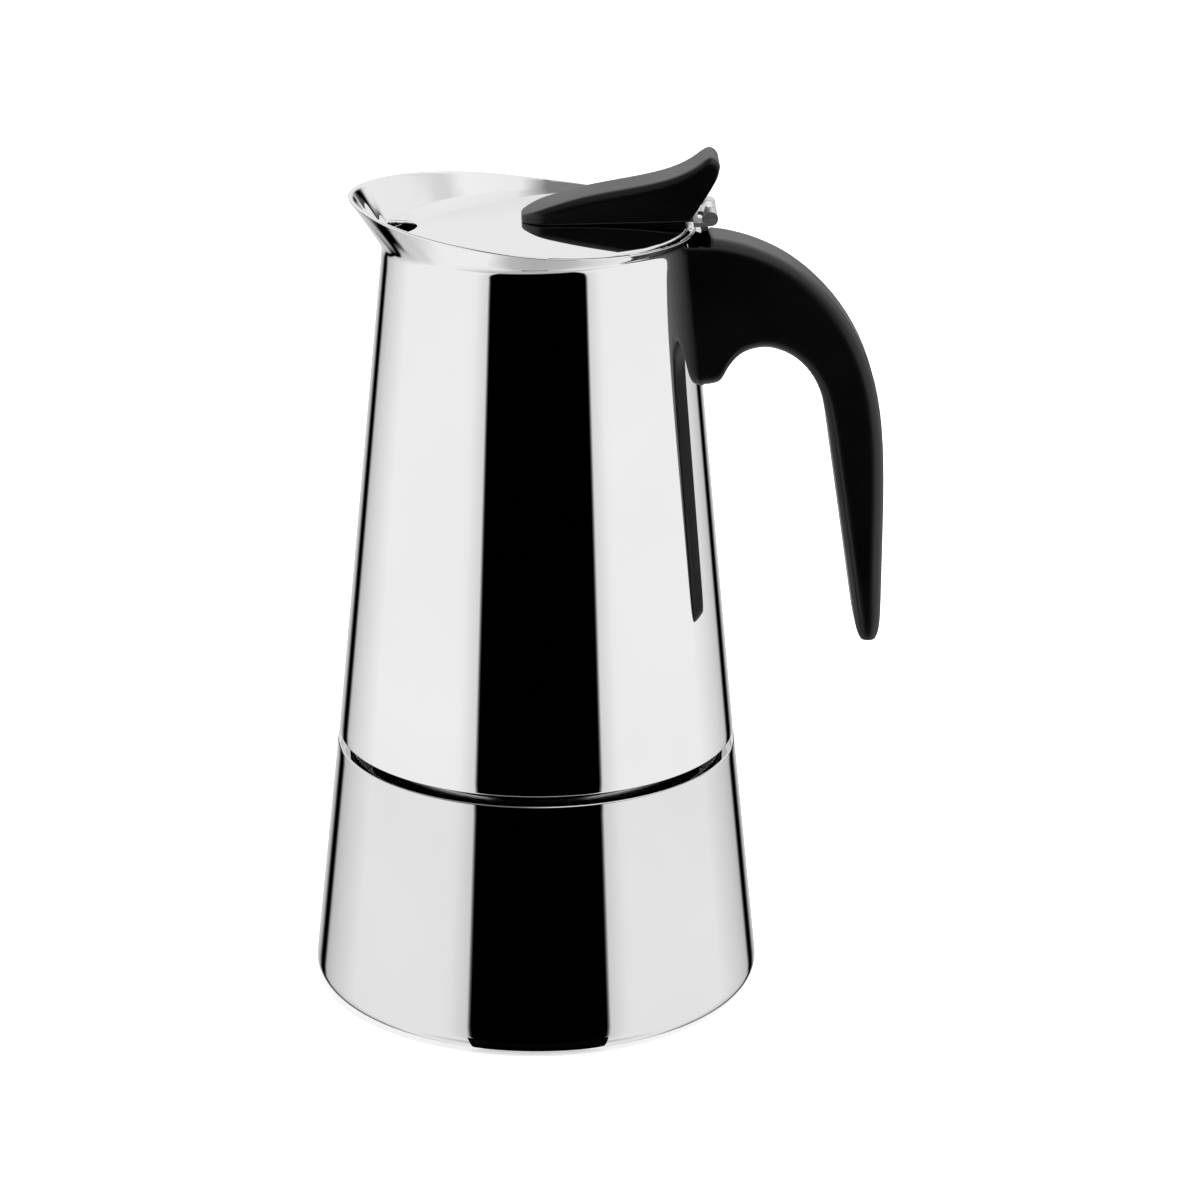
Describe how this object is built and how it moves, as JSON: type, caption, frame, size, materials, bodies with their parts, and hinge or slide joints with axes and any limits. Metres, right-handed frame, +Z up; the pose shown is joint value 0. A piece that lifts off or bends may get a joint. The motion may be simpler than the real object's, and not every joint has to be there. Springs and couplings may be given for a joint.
{
  "type": "moka pot",
  "caption": "Stainless steel stove-top moka pot: a boiler, a screw-on tapered collector with flared spout, a hinged lid with a thumb knob and a black hook handle.",
  "frame": {"origin": "centre of the boiler's flat underside, on the pot's vertical axis", "axes": "+Z up along the pot's axis, -X towards the spout, +X towards the handle, +Y towards the safety valve"},
  "size_m": [0.1267, 0.1096, 0.1901],
  "materials": {
    "polished_steel": "mirror polished",
    "inner_steel": "satin",
    "black_plastic": "satin black",
    "gasket_rubber": "matte",
    "valve_brass": "turned",
    "spring_steel": "drawn wire"
  },
  "bodies": {
    "boiler": {"boiler": "polished_steel", "boiler_neck": "polished_steel", "valve_boss": "polished_steel", "valve_washer": "gasket_rubber", "valve_body": "valve_brass", "valve_seat": "valve_brass", "valve_cap": "valve_brass", "valve_spring": "spring_steel", "funnel": "inner_steel", "funnel_tube": "inner_steel", "funnel_strainer": "inner_steel"},
    "seal": {"gasket": "gasket_rubber", "filter_plate": "inner_steel"},
    "collector": {"collector_floor": "inner_steel", "collector_skirt": "inner_steel", "collector_shell": "polished_steel", "coffee_column": "inner_steel", "handle": "black_plastic", "handle_bracket": "inner_steel", "handle_screw": "inner_steel", "hinge_bracket": "polished_steel", "hinge_pin": "polished_steel"},
    "lid": {"lid": "polished_steel", "lid_hinge_leaf": "polished_steel", "lid_knob": "black_plastic", "knob_screws": "inner_steel"},
    "poppet": {"valve_poppet": "valve_brass"}
  },
  "joints": [
    {"name": "collector_rise", "type": "slide", "parent": "boiler", "child": "seal", "axis": [0, 0, 1], "range_m": [0, 0.0061]},
    {"name": "collector_unscrew", "type": "hinge", "parent": "seal", "child": "collector", "pos_m": [0, 0, 0.0665], "axis": [0, 0, 1], "range_deg": [0, 720]},
    {"name": "lid_hinge", "type": "hinge", "parent": "collector", "child": "lid", "pos_m": [0.0374, 0, 0.17705], "axis": [0, 1, 0], "range_deg": [0, 100]},
    {"name": "valve_lift", "type": "slide", "parent": "boiler", "child": "poppet", "axis": [0, 1, 0], "range_m": [0, 0.0012], "stiffness_N_per_m": 1500, "springref_m": -0.0016, "deforming": ["valve_spring"]}
  ],
  "couplings": [
    {"joint": "collector_rise", "follows": "collector_unscrew", "m_per_rad": 0.00047746}
  ]
}
